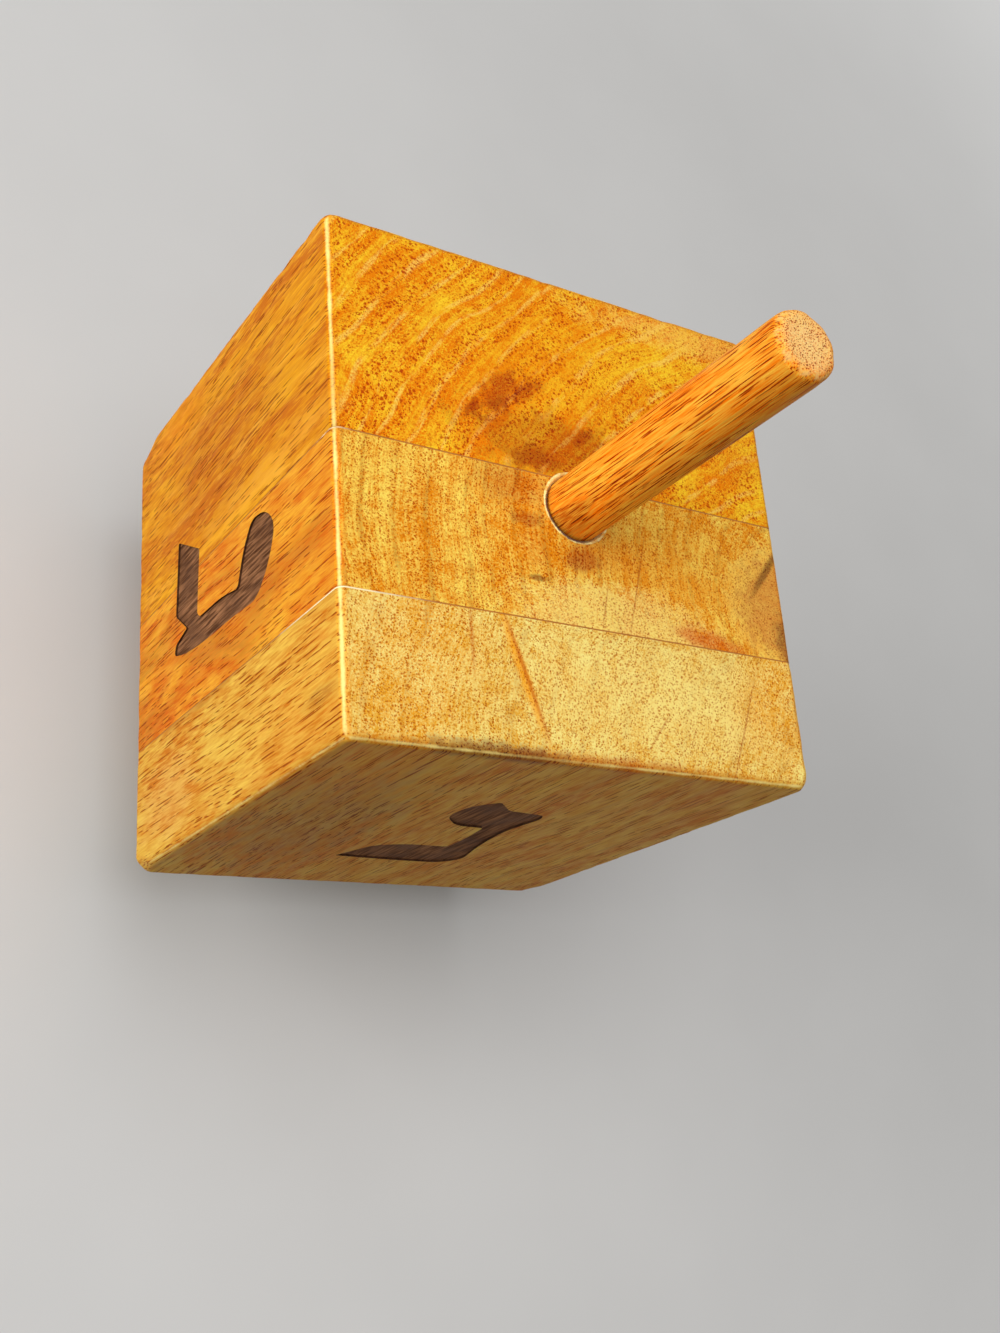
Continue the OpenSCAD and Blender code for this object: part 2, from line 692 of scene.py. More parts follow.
@dataclass(frozen=True)
class BurntFinish:
    """The scorched floor or wall of a letter, with the grain still showing, in millimetres."""

    name: str
    scorch: Colour
    ash: Colour
    grain_share: float
    fibre: Streak = Streak(0.5, 0.5, 9.0, share=0.6, detail=3.0, low=0.36, high=0.64, rough=0.6)
    streak: Streak = Streak(1.6, 1.6, 22.0, share=0.4, low=0.35, high=0.65)
    soot: Streak = Streak(6.0, 6.0, 6.0, share=0.5, low=0.3, high=0.7)
    pore_spacing: float = 0.8
    pore_length: float = 10.0
    pore_radius: float = 0.24
    pore_edge: float = 0.4
    pore_share: float = 0.8
    rough: float = 0.62
    rough_soot: float = 0.2
    relief: float = 0.14
    relief_pores: float = 0.7
    relief_fibre: float = 0.3
    gloss: float = 0.08

    def material(self) -> bpy.types.Material:
        """Makes the scorched wood.

        Returns:
            The material.
        """
        graph = Graph.named(self.name)
        x, y, z = graph.place()
        fibre = self.fibre.read(graph, x, y, z)
        streak = self.streak.read(graph, x, y, z)
        soot = self.soot.read(graph, x, y, z)
        cell = graph.cells(x, y, z, self.pore_spacing, self.pore_length)
        pores = cell.rise(self.pore_edge, self.pore_radius)
        grain = fibre * self.fibre.share + streak * self.streak.share
        share = grain * (1.0 - self.soot.share + self.soot.share * soot) * self.grain_share
        colour = graph.mix(share, self.scorch, self.ash)
        colour = graph.mix(pores * self.pore_share, colour, self.scorch)
        height = 1.0 - pores * self.relief_pores - fibre * self.relief_fibre
        return graph.surface(colour, self.rough + soot * self.rough_soot, height, self.relief, self.gloss)


@dataclass(frozen=True)
class SeamFinish:
    """Dried glue in a seam: a dark line, pale where it was squeezed out at one end, in millimetres."""

    name: str
    top: float
    pale_from: float
    pale_to: float
    depth_from: float
    depth_to: float
    dark: Colour = paint(206, 130, 36)
    deep: Colour = paint(150, 92, 36)
    pale: Colour = paint(255, 240, 190)
    spots: Streak = Streak(2.2, 2.2, 2.2, detail=3.0, rough=0.6)
    ragged: float = 9.0
    ragged_depth: float = 16.0
    rough: float = 0.5
    rough_spots: float = 0.2
    relief: float = 0.05
    gloss: float = 0.4

    def material(self) -> bpy.types.Material:
        """Makes the seam's glue.

        Returns:
            The material.
        """
        graph = Graph.named(self.name)
        x, y, z = graph.place()
        spots = self.spots.raw(graph, x, y, z)
        near = (x + (spots - MIDDLE) * self.ragged).rise(self.pale_from, self.pale_to)
        depth = self.top - z + (spots - MIDDLE) * self.ragged_depth
        share = near * depth.rise(self.depth_from, self.depth_to)
        colour = graph.mix(share, graph.mix(spots, self.dark, self.deep), self.pale)
        return graph.surface(colour, self.rough + spots * self.rough_spots, spots, self.relief, self.gloss)


@dataclass(frozen=True)
class RingFinish:
    """The dried glue round the foot of the handle, with painted shade in the groove beside it, heaviest on
    one side, in millimetres.
    """

    name: str
    pale: Colour = paint(255, 236, 156)
    amber: Colour = paint(238, 180, 76)
    # Painted shade in the groove beside the dowel, and the side where it lies heaviest.
    groove_shade: Colour = paint(104, 74, 66)
    groove: float = 6.75
    shaded_side: tuple[float, float] = (-0.74, -0.67)
    side_starts: float = 0.1
    side_full: float = 0.8
    blotch: Streak = Streak(1.8, 1.8, 1.8, detail=3.0, low=0.42, high=0.66, rough=0.6)
    fine: Streak = Streak(0.5, 0.5, 0.5)
    ragged: float = 0.5
    spread: float = 0.4
    clean_out: float = 0.18
    # Share of the painted groove shade on the other sides.
    full_in: float = 0.1
    groove_shade_floor: float = 0.3
    rough: float = 0.42
    rough_blotch: float = 0.2
    relief: float = 0.06
    gloss: float = 0.45

    def material(self) -> bpy.types.Material:
        """Makes the ring's glue.

        Returns:
            The material.
        """
        graph = Graph.named(self.name)
        x, y, z = graph.place()
        out = (x * x + y * y).root()
        side = (x * self.shaded_side[0] + y * self.shaded_side[1]) / out
        blotch = self.blotch.raw(graph, x, y, z)
        fine = self.fine.raw(graph, x, y, z)
        colour = graph.mix(blotch.rise(self.blotch.low, self.blotch.high), self.pale, self.amber)
        # Painted shade: the groove beside the dowel is darkened, most on one side.
        shaded = side.rise(self.side_starts, self.side_full)
        edge = out + (fine - MIDDLE) * self.ragged - shaded * self.spread
        groove_shade = edge.rise(self.groove + self.clean_out, self.groove - self.full_in)
        groove_shade = groove_shade * (self.groove_shade_floor + (1.0 - self.groove_shade_floor) * shaded)
        colour = graph.mix(groove_shade, colour, self.groove_shade)
        return graph.surface(colour, self.rough + blotch * self.rough_blotch, fine, self.relief, self.gloss)


@dataclass(frozen=True)
class FloorFinish:
    """A plain pale floor that throws only a little light back up, in millimetres.

    Far from the object it turns into the pale background.
    """

    name: str
    tint: Colour = paint(214, 213, 211)
    shade: Colour = paint(206, 205, 203)
    bounce: Colour = paint(120, 118, 114)
    far: Colour = paint(236, 236, 235)
    far_from: float = 240.0
    far_to: float = 1000.0
    mottle: Streak = Streak(60.0, 60.0, 60.0, detail=3.0)

    def material(self) -> bpy.types.Material:
        """Makes the floor's paint.

        Returns:
            The material.
        """
        graph = Graph.named(self.name)
        x, y, z = graph.place()
        tone = graph.mix(self.mottle.raw(graph, x, y, z), self.tint, self.shade)
        near = graph.term("ShaderNodeBsdfDiffuse", {}, {"Color": tone})
        glow = graph.term("ShaderNodeEmission", {}, {"Color": self.far})
        away = (x * x + y * y).root().rise(self.far_from, self.far_to)
        sweep = graph.term("ShaderNodeMixShader", {}, {0: away, 1: near, 2: glow})
        dim = graph.term("ShaderNodeBsdfDiffuse", {}, {"Color": self.bounce})
        both = graph.term("ShaderNodeMixShader", {}, {0: graph.seen(), 1: dim, 2: sweep})
        graph.node("ShaderNodeOutputMaterial", {}, {"Surface": both})
        return graph.owner


class Bench:
    """Steps that pieces share while they are made."""

    @staticmethod
    def hold(mesh: bmesh.types.BMesh, name: str) -> bpy.types.Object:
        """Turns a bmesh into a linked object, still in millimetres.

        Args:
            mesh: The bmesh, which is freed.
            name: The object's name.

        Returns:
            The object.
        """
        data = bpy.data.meshes.new(name)
        mesh.to_mesh(data)
        mesh.free()
        made = bpy.data.objects.new(name, data)
        bpy.context.scene.collection.objects.link(made)
        return made

    @staticmethod
    def settle(held: bpy.types.Object) -> bmesh.types.BMesh:
        """Applies an object's modifiers and removes the object.

        Args:
            held: An object from hold.

        Returns:
            The resulting bmesh.
        """
        bpy.context.view_layer.update()
        ready = held.evaluated_get(bpy.context.evaluated_depsgraph_get())
        mesh = bmesh.new()
        mesh.from_mesh(ready.to_mesh())
        ready.to_mesh_clear()
        data = held.data
        bpy.data.objects.remove(held)
        bpy.data.meshes.remove(data)
        return mesh

    @staticmethod
    def saw(mesh: bmesh.types.BMesh, point: Vector, outward: Vector) -> None:
        """Cuts away what lies beyond a plane and closes the cut.

        Args:
            mesh: The bmesh to cut.
            point: A point of the plane.
            outward: The direction of the side that goes.
        """
        everything = mesh.verts[:] + mesh.edges[:] + mesh.faces[:]
        bmesh.ops.bisect_plane(
            mesh, geom=everything, dist=CUT_DISTANCE, plane_co=point, plane_no=outward, clear_outer=True
        )
        rim = [edge for edge in mesh.edges if edge.is_boundary]
        bmesh.ops.holes_fill(mesh, edges=rim, sides=0)

    @staticmethod
    def publish(
        mesh: bmesh.types.BMesh, name: str, node: str, slot: str, finishes: Sequence[bpy.types.Material]
    ) -> bpy.types.Object:
        """Scales a bmesh to metres and makes it a piece of the part.

        Args:
            mesh: The bmesh in millimetres, which is freed.
            name: The piece's name.
            node: The CAD node that the piece stands for.
            slot: The record's material slot; not used.
            finishes: The piece's materials in order.

        Returns:
            The finished piece.
        """
        bmesh.ops.scale(mesh, vec=Vector((MM, MM, MM)), verts=mesh.verts)
        piece = Bench.hold(mesh, name)
        for finish in finishes:
            piece.data.materials.append(finish)
        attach(piece, BODY)
        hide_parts(node)
        LOG.info("%s stands for %s with %d faces", name, node, len(piece.data.polygons))
        return piece


class Side(Enum):
    """The four square sides, by the direction that each faces."""

    FRONT = (0.0, -1.0)
    LEFT = (-1.0, 0.0)
    BACK = (0.0, 1.0)
    RIGHT = (1.0, 0.0)

    def seat(self, half: float, height: float) -> Matrix:
        """Gives the place of the side's middle.

        Args:
            half: Distance of the side from the axis.
            height: Height of its middle.

        Returns:
            The matrix from right, up and outward on the side to the part's frame.
        """
        out = Vector((*self.value, 0.0))
        up = Vector((0.0, 0.0, 1.0))
        turned = Matrix((up.cross(out), up, out)).transposed().to_4x4()
        return Matrix.Translation(out * half + up * height) @ turned


class Letter(Enum):
    """The game's four letters, in plain shapes of right, up and corner rounding in millimetres."""

    NUN = (
        (
            (-15.6, -24.0, 0.4), (-2.6, -25.0, 5.0), (10.0, -24.9, 2.4), (13.4, -20.5, 2.2),
            (10.4, -9.0, 4.5), (8.7, 4.0, 4.0), (10.6, 14.6, 1.4), (9.4, 17.4, 1.0),
            (0.6, 18.7, 0.8), (-4.2, 23.6, 0.8), (-8.4, 19.6, 2.4), (-9.4, 12.0, 3.0),
            (-3.8, 5.6, 2.4), (2.9, 5.2, 0.5), (4.1, -4.0, 3.5), (4.0, -11.0, 1.2),
            (-5.8, -10.9, 3.0), (-12.0, -13.8, 2.4),
        ),
    )
    GIMEL = (
        (
            (-3.6, 15.0, 1.8), (-2.7, 22.0, 3.0), (2.0, 25.6, 2.2), (8.0, 22.8, 2.6), (13.4, 17.0, 2.8),
            (12.5, 5.0, 4.5), (12.0, -12.0, 3.5), (10.9, -21.0, 2.0), (9.4, -26.2, 1.1), (7.2, -25.2, 0.9),
            (5.7, -19.0, 0.6), (0.9, -25.4, 0.8), (-15.6, -24.0, 0.7), (-9.2, -12.0, 0.7), (4.7, -13.2, 0.6),
            (5.9, -11.7, 0.6), (6.2, 0.0, 3.5), (7.7, 7.8, 1.0), (1.0, 10.8, 2.4),
        ),
    )
    HEY = (
        (
            (-13.8, 12.6, 1.3), (-13.6, 19.5, 1.8), (-10.4, 24.6, 1.3), (-5.4, 20.8, 2.2), (11.0, 20.4, 2.2),
            (13.4, 16.5, 1.8), (13.2, -2.0, 4.0), (12.0, -22.0, 1.4), (8.6, -25.0, 0.8), (6.0, -21.0, 1.2),
            (5.8, 0.0, 4.0), (5.4, 9.6, 1.8), (-9.6, 9.4, 1.4),
        ),
        (
            (-12.6, 4.0, 1.0), (-5.6, 5.0, 1.0), (-6.4, -8.0, 3.0), (-7.4, -22.0, 1.2), (-10.6, -25.0, 0.8),
            (-13.0, -21.0, 1.2), (-12.8, -6.0, 3.0),
        ),
    )
    SHIN = (
        (
            (-17.0, 15.5, 1.5), (-14.4, 24.4, 1.3), (-9.0, 18.6, 1.8), (-9.2, 3.0, 4.0), (-7.6, -10.0, 1.8),
            (-3.6, 6.0, 3.0), (-4.4, 15.2, 1.8), (-1.6, 24.4, 1.3), (4.0, 18.6, 1.8), (3.0, 2.0, 4.0),
            (-1.6, -14.6, 1.8), (7.0, -13.6, 2.5), (9.4, -2.0, 4.0), (9.0, 15.2, 1.8), (11.6, 24.4, 1.3),
            (17.2, 18.2, 1.8), (16.6, -4.0, 5.0), (12.4, -20.5, 3.0), (4.0, -24.6, 2.5), (-12.6, -24.6, 1.4),
            (-14.6, -6.0, 4.0),
        ),
    )


@dataclass
class LetterCutter:
    """The stamp that sinks one letter into one side, in millimetres."""

    letter: Letter
    side: Side
    half: float
    middle: float
    depth: float = 0.45
    proud: float = 2.0
    corner_steps: int = 4
    floor_tilt: float = 0.5

    def add(self, mesh: bmesh.types.BMesh) -> None:
        """Adds the letter's prisms to a cutter.

        Args:
            mesh: The bmesh that collects the cutter's solids.
        """
        seat = self.side.seat(self.half, self.middle)
        for outline in self.letter.value:
            self._add_stroke(mesh, outline, seat)

    def _add_stroke(self, mesh: bmesh.types.BMesh, outline: Sequence[Triple], seat: Matrix) -> None:
        """Adds one closed outline as a prism.

        Args:
            mesh: The bmesh that collects the cutter's solids.
            outline: Corners with their rounding.
            seat: The place of the side.
        """
        before = set(mesh.faces)
        corners = [mesh.verts.new((right, up, -self.depth)) for right, up, _ in outline]
        mesh.faces.new(corners)
        for corner, (_, _, rounding) in zip(corners, outline):
            bmesh.ops.bevel(
                mesh, geom=[corner], offset=rounding, offset_type="OFFSET", affect="VERTICES",
                segments=self.corner_steps, profile=0.5, clamp_overlap=True, material=-1,
            )
        floor = [face for face in mesh.faces if face not in before]
        raised = bmesh.ops.extrude_face_region(mesh, geom=floor, use_keep_orig=True)["geom"]
        lifted = [item for item in raised if isinstance(item, bmesh.types.BMVert)]
        bmesh.ops.translate(mesh, vec=Vector((0.0, 0.0, self.depth + self.proud)), verts=lifted)
        made = [face for face in mesh.faces if face not in before]
        bmesh.ops.recalc_face_normals(mesh, faces=made)
        for face in made:
            face.material_index = BURNT if abs(face.normal.z) > self.floor_tilt else CHARRED
        bmesh.ops.transform(mesh, matrix=seat, verts=list({vert for face in made for vert in face.verts}))


@dataclass
class BlockForm:
    """The whole block with its point, rounded and rubbed along its edges, in millimetres."""

    half: float
    top: float
    height: float = 100.0
    slope: float = 32.5
    rim: float = 1.4
    corner: float = 1.4
    arris: float = 1.92
    hip: float = 0.8
    tip: float = 0.55
    tip_level: float = 0.05
    round_steps: int = 5
    wear_steps: int = 60
    wear_depth: float = 0.30
    wear_length: float = 5.0
    fine_wear_length: float = 1.7
    fine_wear_share: float = 0.35
    flatness: float = 0.9995
    near_top: float = 1.0
    corner_spread: float = 3.0
    corner_cuts: tuple[float, ...] = (1.9, 2.5, 3.2, 4.0, 5.0, 6.2, 7.8, 10.0, 13.0)
    corner_balls: tuple[tuple[float, float, float, float], ...] = (
        (-1.0, -1.0, 2.0, 4.2), (-1.0, 1.0, 2.2, 5.4), (1.0, -1.0, 2.4, 4.4), (1.0, 1.0, 2.2, 4.8),
    )
    ball_sweeps: int = 16

    @property
    def shoulder(self) -> float:
        """Gives the height where the sides turn into the point."""
        return self.top - self.height

    @property
    def sharp_tip(self) -> float:
        """Gives the height where the four faces of the point would meet."""
        return self.shoulder - self.half * math.tan(math.radians(self.slope))

    def build(self, sunk: float = 0.0) -> bmesh.types.BMesh:
        """Makes the block.

        Args:
            sunk: How far all its faces lie inside the block's own.

        Returns:
            The closed block.
        """
        mesh = self._sharp(sunk)
        held = Bench.hold(mesh, "block_form")
        easing = held.modifiers.new("easing", "BEVEL")
        easing.limit_method = "WEIGHT"
        easing.width = self.arris
        easing.segments = self.round_steps
        easing.profile = 0.5
        easing.material = -1
        mesh = Bench.settle(held)
        self._rub(mesh)
        return mesh

    def _sharp(self, sunk: float) -> bmesh.types.BMesh:
        """Makes the block with sharp edges, each marked with its rounding.

        Args:
            sunk: How far all its faces lie inside the block's own.

        Returns:
            The closed block.
        """
        half, top = self.half - sunk, self.top - sunk
        slope = math.radians(self.slope)
        tip = self.sharp_tip + sunk / math.cos(slope)
        low = tip - self.half
        mesh = bmesh.new()
        bmesh.ops.create_cube(
            mesh, size=1.0,
            matrix=Matrix.Translation((0.0, 0.0, (top + low) / 2.0)) @ Matrix.Diagonal(
                (2.0 * half, 2.0 * half, top - low, 1.0)
            ),
        )
        for side in Side:
            out = Vector((*side.value, 0.0)) * math.sin(slope)
            Bench.saw(mesh, Vector((0.0, 0.0, tip)), out - Vector((0.0, 0.0, math.cos(slope))))
        Bench.saw(mesh, Vector((0.0, 0.0, self.tip_level + sunk)), Vector((0.0, 0.0, -1.0)))
        mark = mesh.edges.layers.float.new("bevel_weight_edge")
        for edge in mesh.edges:
            edge[mark] = self._rounding(edge, top) / self.arris
        return mesh

    def _rounding(self, edge: bmesh.types.BMEdge, top: float) -> float:
        """Gives how far an edge's rounding reaches into its faces.

        Args:
            edge: An edge of the sharp block.
            top: Height of the upper face.

        Returns:
            The reach.
        """
        heights = sorted(vert.co.z for vert in edge.verts)
        if heights[0] > top - self.near_top:
            return self.rim
        if heights[1] > top - self.near_top:
            return self.corner
        if heights[0] > self.shoulder / 2.0:
            return self.arris
        return self.hip if heights[1] > self.shoulder / 2.0 else self.tip

    def _rub(self, mesh: bmesh.types.BMesh) -> None:
        """Dents the rounded edges and blunts the corners, as years of handling do.

        Args:
            mesh: The rounded block.
        """
        long_edges = [edge for edge in mesh.edges if edge.calc_length() > self.half / 2.0]
        bmesh.ops.subdivide_edges(mesh, edges=long_edges, cuts=self.wear_steps)
        self._divide(mesh)
        mesh.normal_update()
        flats = {face for face in mesh.faces if self._is_flat(face)}
        still = {vert for face in flats for vert in face.verts}
        planes = self._planes()
        moves = []
        for vert in mesh.verts:
            move = self._blunted(vert.co, planes) - vert.co
            if vert not in still:
                rubbed = max(0.0, noise.noise(vert.co / self.wear_length))
                fine = max(0.0, noise.noise(vert.co / self.fine_wear_length)) * self.fine_wear_share
                move -= vert.normal * (self.wear_depth * (rubbed + fine))
            moves.append((vert, move))
        bent = {vert for vert, move in moves if move.length > CUT_DISTANCE}
        for vert, move in moves:
            vert.co += move
        for face in mesh.faces:
            face.smooth = face not in flats or any(vert in bent for vert in face.verts)

    def _divide(self, mesh: bmesh.types.BMesh) -> None:
        """Adds cuts beside the edges, so that the corners can bend.

        Args:
            mesh: The rounded block.
        """
        for cut in self.corner_cuts:
            inset = self.half - cut
            across, along, up = (Vector(row) for row in Matrix.Identity(3))
            places = (
                (across, inset), (across, -inset), (along, inset), (along, -inset),
                (up, self.top - cut), (up, self.shoulder + cut),
            )
            for normal, level in places:
                everything = mesh.verts[:] + mesh.edges[:] + mesh.faces[:]
                bmesh.ops.bisect_plane(
                    mesh, geom=everything, dist=CUT_DISTANCE, plane_co=normal * level, plane_no=normal
                )

    def _is_flat(self, face: bmesh.types.BMFace) -> bool:
        """Tells whether a face lies in a side, the upper face or a face of the point.

        Args:
            face: A face of the rounded block.

        Returns:
            Whether it lies in one of these.
        """
        slope = math.radians(self.slope)
        turned = max(abs(face.normal.x), abs(face.normal.y))
        square = max(turned, face.normal.z) > self.flatness
        leans = abs(turned - math.sin(slope)) < 1.0 - self.flatness
        return square or (leans and -face.normal.z > math.cos(slope) * self.flatness)

    def _planes(self) -> list[tuple[Vector, float]]:
        """Gives the planes of the sharp block.

        Returns:
            The outward normal of each plane, with its distance from the origin.
        """
        slope = math.radians(self.slope)
        up = Vector((0.0, 0.0, 1.0))
        planes = [(up, self.top)]
        for side in Side:
            out = Vector((*side.value, 0.0))
            leaning = out * math.sin(slope) - up * math.cos(slope)
            planes += [(out, self.half), (leaning, -self.sharp_tip * math.cos(slope))]
        return planes

    def _blunted(self, spot: Vector, planes: list[tuple[Vector, float]]) -> Vector:
        """Moves a point in to where a ball rolled inside the corners would reach.

        Args:
            spot: A point of the block's surface.
            planes: The planes of the sharp block.

        Returns:
            The point, unmoved away from the corners.
        """
        ball = 0.0
        for x, y, at_top, at_shoulder in self.corner_balls:
            for level, radius in ((self.top, at_top), (self.shoulder, at_shoulder)):
                away = (spot - Vector((x * self.half, y * self.half, level))).length
                near = max(0.0, 1.0 - away / (radius * self.corner_spread))
                ball = max(ball, radius * near * near * (3.0 - 2.0 * near))
        if sum(level - spot.dot(normal) < ball for normal, level in planes) < 2:
            return spot
        centre = spot.copy()
        owed = [Vector() for _ in planes]
        for _ in range(self.ball_sweeps):
            for index, (normal, level) in enumerate(planes):
                tried = centre + owed[index]
                owed[index] = normal * max(0.0, tried.dot(normal) - level + ball)
                centre = tried - owed[index]
        away = spot - centre
        return centre + away.normalized() * min(away.length, ball)


@dataclass
class Block:
    """The block glued from three boards, in millimetres."""

    form: BlockForm
    bore: float = 6.65
    mouth: float = 7.05
    mouth_depth: float = 1.2
    bore_depth: float = 30.0
    front_seam: float = -24.0
    back_seam: float = 5.5
    glue: float = 0.3
    glue_sunk: float = 0.05
    beyond: float = 4.0
    bore_steps: int = 96

    def build(self, boards: Mapping[str, WoodFinish], seams: Mapping[str, SeamFinish]) -> None:
        """Makes the boards and the glue between them.

        Args:
            boards: The finish of each board.
            seams: The finish of each glue line.
        """
        burnt = BurntFinish("scorched_floor", paint(78, 44, 22), paint(176, 122, 82), 1.0).material()
        charred = BurntFinish("charred_wall", paint(58, 34, 20), paint(110, 72, 48), 0.6).material()
        thin = self.glue / 2.0
        outside = self.form.half + self.beyond
        layers = {
            "front_board": (-outside, self.front_seam - thin),
            "middle_board": (self.front_seam + thin, self.back_seam - thin),
            "back_board": (self.back_seam + thin, outside),
        }
        whole, sunk = self.form.build(), self.form.build(self.glue_sunk)
        for node, (low, high) in layers.items():
            wood = boards[node].material()
            mesh = self._layer(whole, low, high)
            Bench.publish(mesh, f"{node}_wood", node, node, (wood, burnt, charred))
        for node, middle in (("front_glue_line", self.front_seam), ("back_glue_line", self.back_seam)):
            glue = seams[node].material()
            mesh = self._layer(sunk, middle - thin, middle + thin)
            Bench.publish(mesh, f"{node}_film", node, "wood_glue", (glue, burnt, charred))
        whole.free()
        sunk.free()

    def _layer(self, whole: bmesh.types.BMesh, low: float, high: float) -> bmesh.types.BMesh:
        """Makes one layer of the block, with its share of the letters and of the handle's hole.

        Args:
            whole: The block, which stays as it is.
            low: Front plane of the layer.
            high: Back plane of the layer.

        Returns:
            The closed layer.
        """
        mesh = whole.copy()
        if low > -self.form.half:
            Bench.saw(mesh, Vector((0.0, low, 0.0)), Vector((0.0, -1.0, 0.0)))
        if high < self.form.half:
            Bench.saw(mesh, Vector((0.0, high, 0.0)), Vector((0.0, 1.0, 0.0)))
        held = Bench.hold(mesh, "layer")
        cutter = Bench.hold(self._cutter(), "cutter")
        cut = held.modifiers.new("cut", "BOOLEAN")
        cut.operation = "DIFFERENCE"
        cut.solver = "EXACT"
        cut.object = cutter
        made = Bench.settle(held)
        bpy.data.objects.remove(cutter)
        return made

    def _cutter(self) -> bmesh.types.BMesh:
        """Makes all that is cut out of the block: the letters and the hole.

        Returns:
            The cutter's closed solids.
        """
        mesh = bmesh.new()
        middle = self.form.top - self.form.height / 2.0
        for letter, side in zip(Letter, Side):
            LetterCutter(letter, side, self.form.half, middle).add(mesh)
        top = self.form.top
        profile = [
            (0.0, top - self.bore_depth), (self.bore, top - self.bore_depth),
            (self.bore, top - self.mouth_depth), (self.mouth, top),
            (self.mouth, top + self.beyond), (0.0, top + self.beyond),
        ]
        Lathe(self.bore_steps).add(mesh, profile)
        return mesh


@dataclass
class Lathe:
    """Turns outlines round the spin axis."""

    steps: int

    def add(
        self, mesh: bmesh.types.BMesh, profile: Sequence[tuple[float, float]], closed: bool = False
    ) -> None:
        """Adds a turned solid to a bmesh.

        Args:
            mesh: The bmesh that gets the solid.
            profile: Radius and height of each point.
            closed: Whether the outline returns to its first point.
        """
        before = set(mesh.faces)
        points = [mesh.verts.new((radius, 0.0, height)) for radius, height in profile]
        ends = points[1:] + points[:1] if closed else points[1:]
        edges = [mesh.edges.new(pair) for pair in zip(points, ends)]
        bmesh.ops.spin(
            mesh, geom=points + edges, cent=Vector(), axis=Vector((0.0, 0.0, 1.0)), dvec=Vector(),
            angle=TURN, steps=self.steps, use_merge=True,
        )
        made = [face for face in mesh.faces if face not in before]
        touched = list({vert for face in made for vert in face.verts})
        bmesh.ops.remove_doubles(mesh, verts=touched, dist=CUT_DISTANCE)
        made = [face for face in mesh.faces if face not in before]
        bmesh.ops.recalc_face_normals(mesh, faces=made)


@dataclass
class Handle:
    """The dowel handle with its rubbed end, in millimetres."""

    top: float
    radius: float = 6.35
    length: float = 61.5
    tenon: float = 30.0
    chamfer: float = 1.5
    chamfer_steps: int = 1
    end_round: float = 1.8
    end_steps: int = 7
    steps: int = 72
    rings: int = 46
    level_gap: float = 0.01
    end_tilt: float = 0.99
    chip_depth: float = 0.42
    chip_size: float = 2.1
    chip_bias: float = 0.12
    chip_power: int = 3
    flat_depth: float = 0.07
    flat_width: float = 5.0
    flat_length: float = 38.0
    flat_bias: float = 0.3

    def build(self, finish: WoodFinish) -> None:
        """Makes the handle.

        Args:
            finish: Its wood.
        """
        full = self.length + self.tenon
        end = self.top + self.length
        mesh = bmesh.new()
        bmesh.ops.create_cone(
            mesh, cap_ends=True, cap_tris=False, segments=self.steps, radius1=self.radius,
            radius2=self.radius, depth=full, matrix=Matrix.Translation((0.0, 0.0, end - full / 2.0)),
        )
        ends = ((end, self.end_round, self.end_steps), (end - full, self.chamfer, self.chamfer_steps))
        for level, reach, segments in ends:
            rim = [
                edge for edge in mesh.edges
                if all(abs(vert.co.z - level) < self.level_gap for vert in edge.verts)
            ]
            bmesh.ops.bevel(
                mesh, geom=rim, offset=reach, offset_type="OFFSET", affect="EDGES", segments=segments,
                profile=0.5, clamp_overlap=True, material=-1,
            )
        long_edges = [edge for edge in mesh.edges if edge.calc_length() > self.tenon]
        bmesh.ops.subdivide_edges(mesh, edges=long_edges, cuts=self.rings, use_grid_fill=True)
        for face in mesh.faces:
            face.smooth = abs(face.normal.z) < self.end_tilt
        self._age(mesh, end)
        Bench.publish(mesh, "handle_dowel", "handle", "handle", (finish.material(),))

    def _age(self, mesh: bmesh.types.BMesh, end: float) -> None:
        """Chips the free end's rim and takes the last roundness out of the shank.

        Args:
            mesh: The turned handle.
            end: Height of the free end.
        """
        mesh.normal_update()
        moves = []
        for vert in mesh.verts:
            x, y, z = vert.co
            near = max(0.0, 1.0 - (end - z) / (2.0 * self.end_round))
            rim = (math.hypot(x, y) / self.radius) ** self.chip_power
            chip = max(0.0, noise.noise(vert.co / self.chip_size) + self.chip_bias) * self.chip_depth
            drawn = Vector((x / self.flat_width, y / self.flat_width, z / self.flat_length))
            flat = (noise.noise(drawn) - self.flat_bias) * self.flat_depth
            moves.append((vert, vert.normal * (min(0.0, flat) - chip * near * rim)))
        for vert, move in moves:
            vert.co += move


@dataclass
class HandleGlue:
    """The bead of glue round the foot of the handle, in millimetres from the upper face.

    Each wave of the bead has its share and how often it comes round.
    """

    top: float
    profile: tuple[tuple[float, float], ...] = (
        (6.36, -28.4), (6.62, -28.4), (6.62, -1.25), (7.02, -0.06), (7.36, 0.01), (7.30, 0.07), (7.10, 0.13),
        (6.90, 0.12), (6.74, 0.02), (6.58, -0.30), (6.36, -0.45),
    )
    steps: int = 144
    bead_low: float = -0.1
    bead_inside: float = 6.6
    waves: tuple[tuple[float, float], ...] = ((0.5, 3.1), (0.35, 9.0))
    heavy_side: tuple[float, float] = (-0.8, 0.6)
    heavy_share: float = 0.35
    spread: float = 0.38
    lift: float = 0.7

    def build(self, finish: RingFinish) -> None:
        """Makes the bead and the glue below it.

        Args:
            finish: Its glue.
        """
        mesh = bmesh.new()
        Lathe(self.steps).add(mesh, [(radius, self.top + height) for radius, height in self.profile], True)
        for vert in mesh.verts:
            rise = vert.co.z - self.top
            out = Vector((vert.co.x, vert.co.y, 0.0))
            if rise > self.bead_low and out.length > self.bead_inside:
                around = out.normalized()
                swell = sum(share * noise.noise(around * often) for share, often in self.waves)
                swell += self.heavy_share * around.xy.dot(Vector(self.heavy_side))
                vert.co += around * ((out.length - self.bead_inside) * self.spread * swell)
                vert.co.z += max(0.0, rise) * self.lift * swell
        for face in mesh.faces:
            face.smooth = True
        Bench.publish(mesh, "handle_glue_bead", "handle_glue", "wood_glue", (finish.material(),))


